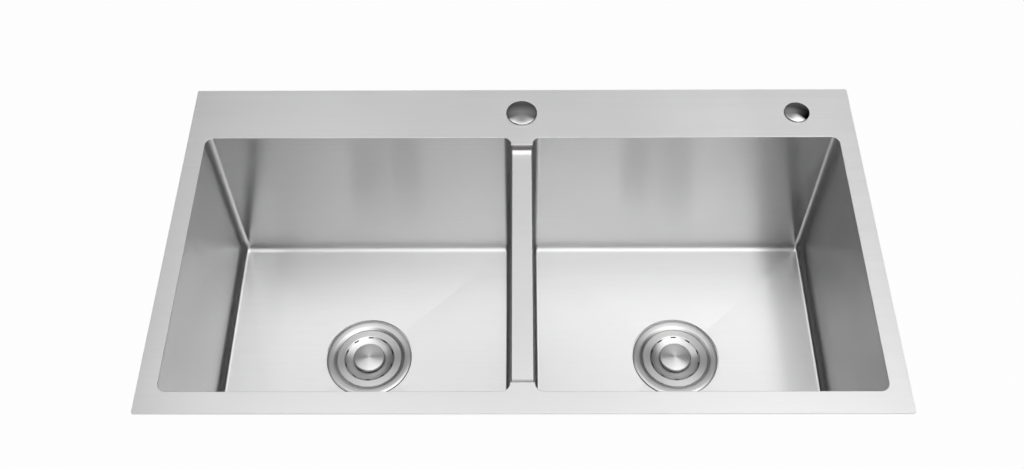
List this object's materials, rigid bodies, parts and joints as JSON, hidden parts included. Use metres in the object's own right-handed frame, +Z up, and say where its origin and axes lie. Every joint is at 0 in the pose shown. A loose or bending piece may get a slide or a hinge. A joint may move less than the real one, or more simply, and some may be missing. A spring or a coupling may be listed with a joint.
{
  "type": "double-bowl kitchen sink",
  "caption": "Drop-in stainless kitchen sink with two square bowls joined by a lowered bridge, a lift-out basket strainer in each and plugged tap and dispenser holes in the rear ledge.",
  "frame": {"origin": "middle of the deck's outline, on the worktop: the plane of the foam seal's underside", "axes": "+Z up, +X along the sink's length to the right as a user faces it, +Y to the rear, towards the tap ledge"},
  "size_m": [0.82, 0.45, 0.3753],
  "materials": {
    "deck_steel": "long straight brushing along the deck's length",
    "bowl_steel": "straight brushing, satin",
    "bridge_steel": "brushed from front to rear",
    "spun_steel": "spun, with fine turning rings",
    "polished_steel": "mirror polished",
    "post_steel": "bright drawn rod",
    "tail_steel": "bright drawn tube",
    "plain_steel": "plain zinc plate",
    "brass_nut": "cast, unpolished",
    "black_rubber": "matt",
    "foam": "closed-cell foam tape",
    "sound_pad": "matt, lightly textured",
    "fibre": "pressed fibre",
    "nut_plastic": "moulded, satin"
  },
  "bodies": {
    "sink": {"deck_panel": "deck_steel", "divider_bridge": "bridge_steel", "rim_seal": "foam", "left_bowl": "bowl_steel", "left_floor_pad": "sound_pad", "left_front_pad": "sound_pad", "left_rear_pad": "sound_pad", "left_side_pad": "sound_pad", "left_strainer_body": "spun_steel", "left_flange_gasket": "black_rubber", "left_sink_washer": "black_rubber", "left_friction_ring": "fibre", "left_lock_nut": "nut_plastic", "left_tail_washer": "black_rubber", "left_tailpiece": "tail_steel", "left_coupling_nut": "nut_plastic", "right_bowl": "bowl_steel", "right_floor_pad": "sound_pad", "right_front_pad": "sound_pad", "right_rear_pad": "sound_pad", "right_side_pad": "sound_pad", "right_strainer_body": "spun_steel", "right_flange_gasket": "black_rubber", "right_sink_washer": "black_rubber", "right_friction_ring": "fibre", "right_lock_nut": "nut_plastic", "right_tail_washer": "black_rubber", "right_tailpiece": "tail_steel", "right_coupling_nut": "nut_plastic", "tap_cover": "polished_steel", "tap_gasket": "black_rubber", "tap_plate": "plain_steel", "tap_wing_nut": "brass_nut", "dispenser_cover": "polished_steel", "dispenser_gasket": "black_rubber", "dispenser_plate": "plain_steel", "dispenser_wing_nut": "brass_nut"},
    "left_basket": {"left_basket": "spun_steel"},
    "left_stopper": {"left_stopper_seal": "black_rubber", "left_knob": "spun_steel", "left_post": "post_steel", "left_stopper_clip": "post_steel"},
    "right_basket": {"right_basket": "spun_steel"},
    "right_stopper": {"right_stopper_seal": "black_rubber", "right_knob": "spun_steel", "right_post": "post_steel", "right_stopper_clip": "post_steel"}
  },
  "joints": [
    {"name": "left_basket_lift", "type": "slide", "parent": "sink", "child": "left_basket", "axis": [0, 0, 1], "range_m": [0, 0.32]},
    {"name": "left_stopper_lift", "type": "slide", "parent": "left_basket", "child": "left_stopper", "axis": [0, 0, 1], "range_m": [0, 0.008]},
    {"name": "right_basket_lift", "type": "slide", "parent": "sink", "child": "right_basket", "axis": [0, 0, 1], "range_m": [0, 0.32]},
    {"name": "right_stopper_lift", "type": "slide", "parent": "right_basket", "child": "right_stopper", "axis": [0, 0, 1], "range_m": [0, 0.008]}
  ]
}
